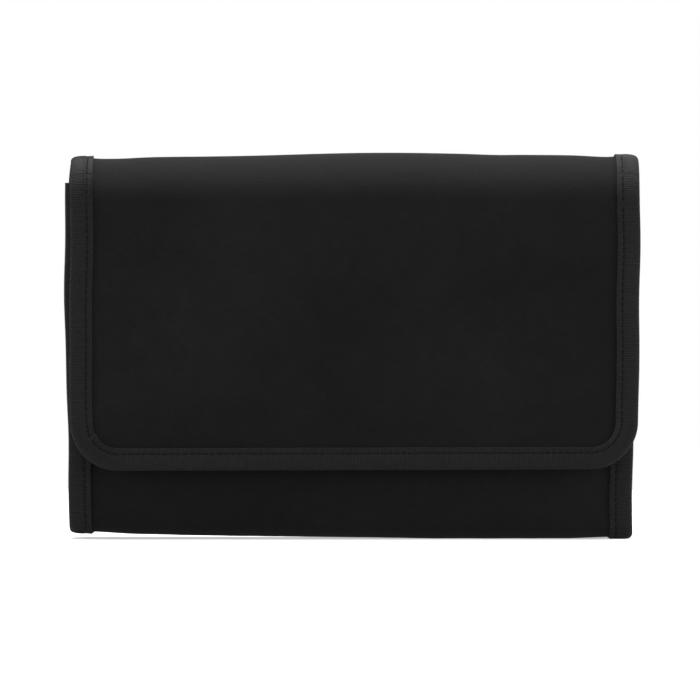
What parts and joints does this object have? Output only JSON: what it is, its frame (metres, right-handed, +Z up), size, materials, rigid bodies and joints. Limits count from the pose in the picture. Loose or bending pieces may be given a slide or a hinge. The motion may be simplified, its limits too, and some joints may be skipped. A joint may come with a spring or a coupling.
{
  "type": "hanging toiletry bag",
  "caption": "Tri-fold hanging toiletry bag, folded shut, with a bound flap, two zipped mesh pockets inside and a fold-out hook.",
  "frame": {"origin": "bottom centre of the folded bag, on the surface that it stands on", "axes": "+X along the width, to the right seen from the front; -Y towards the front, where the flap is; +Z up"},
  "size_m": [0.25, 0.042, 0.1705],
  "materials": {
    "cloth": "fine plain-weave black polyester, matt with a faint sheen",
    "binding": "black grosgrain tape with cross ribs",
    "lining": "black taffeta lining, slightly smoother than the outside",
    "foam": "grey foam board, hidden",
    "mesh": "black knitted mesh",
    "zip_tape": "woven zip tape",
    "zip_coil": "black nylon coil",
    "zip_metal": "black lacquered metal",
    "hook_plastic": "black moulded plastic, satin",
    "touch_tape": "black hook-and-loop tape"
  },
  "bodies": {
    "back": {"back_cloth": "cloth", "back_foam": "foam", "back_lining": "lining", "back_binding_left": "binding", "back_binding_right": "binding", "back_pocket_mesh": "mesh", "back_gusset_base": "cloth", "back_gusset_left": "cloth", "back_gusset_right": "cloth", "back_coil_lining_side": "zip_coil", "back_coil_pocket_side": "zip_coil", "back_zip_tape_lining_side": "zip_tape", "back_zip_tape_pocket_side": "zip_tape"},
    "roll_1": {"roll_1_cloth": "cloth", "roll_1_lining": "lining", "roll_1_binding_left": "binding", "roll_1_binding_right": "binding"},
    "roll_2": {"roll_2_cloth": "cloth", "roll_2_lining": "lining", "roll_2_binding_left": "binding", "roll_2_binding_right": "binding"},
    "roll_3": {"roll_3_cloth": "cloth", "roll_3_lining": "lining", "roll_3_binding_left": "binding", "roll_3_binding_right": "binding"},
    "roll_4": {"roll_4_cloth": "cloth", "roll_4_lining": "lining", "roll_4_binding_left": "binding", "roll_4_binding_right": "binding"},
    "flap": {"flap_cloth": "cloth", "flap_lining": "lining", "flap_binding": "binding", "flap_hook_patch_left": "touch_tape", "flap_hook_patch_right": "touch_tape"},
    "base": {"base_cloth": "cloth", "base_lining": "lining", "base_binding_left": "binding", "base_binding_right": "binding"},
    "front": {"front_cloth": "cloth", "front_foam": "foam", "front_lining": "lining", "front_binding_left": "binding", "front_binding_right": "binding", "front_hem": "binding", "front_loop_patch_left": "touch_tape", "front_loop_patch_right": "touch_tape", "front_pocket_mesh": "mesh", "front_gusset_base": "cloth", "front_gusset_left": "cloth", "front_gusset_right": "cloth", "front_coil_lining_side": "zip_coil", "front_coil_pocket_side": "zip_coil", "front_zip_tape_lining_side": "zip_tape", "front_zip_tape_pocket_side": "zip_tape"},
    "hook": {"hook": "hook_plastic", "hook_loop": "binding"},
    "back_slider": {"back_slider": "zip_metal"},
    "back_pull": {"back_pull": "zip_metal"},
    "front_slider": {"front_slider": "zip_metal"},
    "front_pull": {"front_pull": "zip_metal"}
  },
  "joints": [
    {"name": "roll_fold", "type": "hinge", "parent": "back", "child": "roll_1", "pos_m": [0, 0.021, 0.15632], "axis": [-1, 0, 0], "range_deg": [0, 36]},
    {"name": "roll_fold_2", "type": "hinge", "parent": "roll_1", "child": "roll_2", "pos_m": [0, 0.01298, 0.16736], "axis": [-1, 0, 0], "range_deg": [0, 36]},
    {"name": "roll_fold_3", "type": "hinge", "parent": "roll_2", "child": "roll_3", "pos_m": [0, 0, 0.17158], "axis": [-1, 0, 0], "range_deg": [0, 36]},
    {"name": "roll_fold_4", "type": "hinge", "parent": "roll_3", "child": "roll_4", "pos_m": [0, -0.01298, 0.16736], "axis": [-1, 0, 0], "range_deg": [0, 36]},
    {"name": "roll_fold_5", "type": "hinge", "parent": "roll_4", "child": "flap", "pos_m": [0, -0.021, 0.15632], "axis": [-1, 0, 0], "range_deg": [0, 36]},
    {"name": "base_fold", "type": "hinge", "parent": "base", "child": "back", "pos_m": [0, 0.021, 0], "axis": [-1, 0, 0], "range_deg": [0, 88], "deforming": ["flap_cloth", "flap_lining", "flap_binding", "flap_hook_patch_left", "flap_hook_patch_right"]},
    {"name": "front_fold", "type": "hinge", "parent": "base", "child": "front", "pos_m": [0, -0.0128, 0], "axis": [1, 0, 0], "range_deg": [0, 88]},
    {"name": "hook_fold", "type": "hinge", "parent": "front", "child": "hook", "pos_m": [0, -0.0144, 0.1571], "axis": [-1, 0, 0], "range_deg": [0, 176]},
    {"name": "back_zip_slide", "type": "slide", "parent": "back", "child": "back_slider", "axis": [-1, 0, 0], "range_m": [0, 0.176]},
    {"name": "back_pull_swing", "type": "hinge", "parent": "back_slider", "child": "back_pull", "pos_m": [0.088, 0.01195, 0.026], "axis": [0, 1, 0], "range_deg": [-85, 85]},
    {"name": "front_zip_slide", "type": "slide", "parent": "front", "child": "front_slider", "axis": [-1, 0, 0], "range_m": [0, 0.176]},
    {"name": "front_pull_swing", "type": "hinge", "parent": "front_slider", "child": "front_pull", "pos_m": [0.088, -0.00375, 0.134], "axis": [0, 1, 0], "range_deg": [-85, 85]}
  ],
  "couplings": [
    {"joint": "roll_fold_2", "follows": "roll_fold", "ratio": 1},
    {"joint": "roll_fold_3", "follows": "roll_fold", "ratio": 1},
    {"joint": "roll_fold_4", "follows": "roll_fold", "ratio": 1},
    {"joint": "roll_fold_5", "follows": "roll_fold", "ratio": 1},
    {"joint": "front_fold", "follows": "base_fold", "ratio": 1},
    {"joint": "hook_fold", "follows": "base_fold", "ratio": 2}
  ]
}
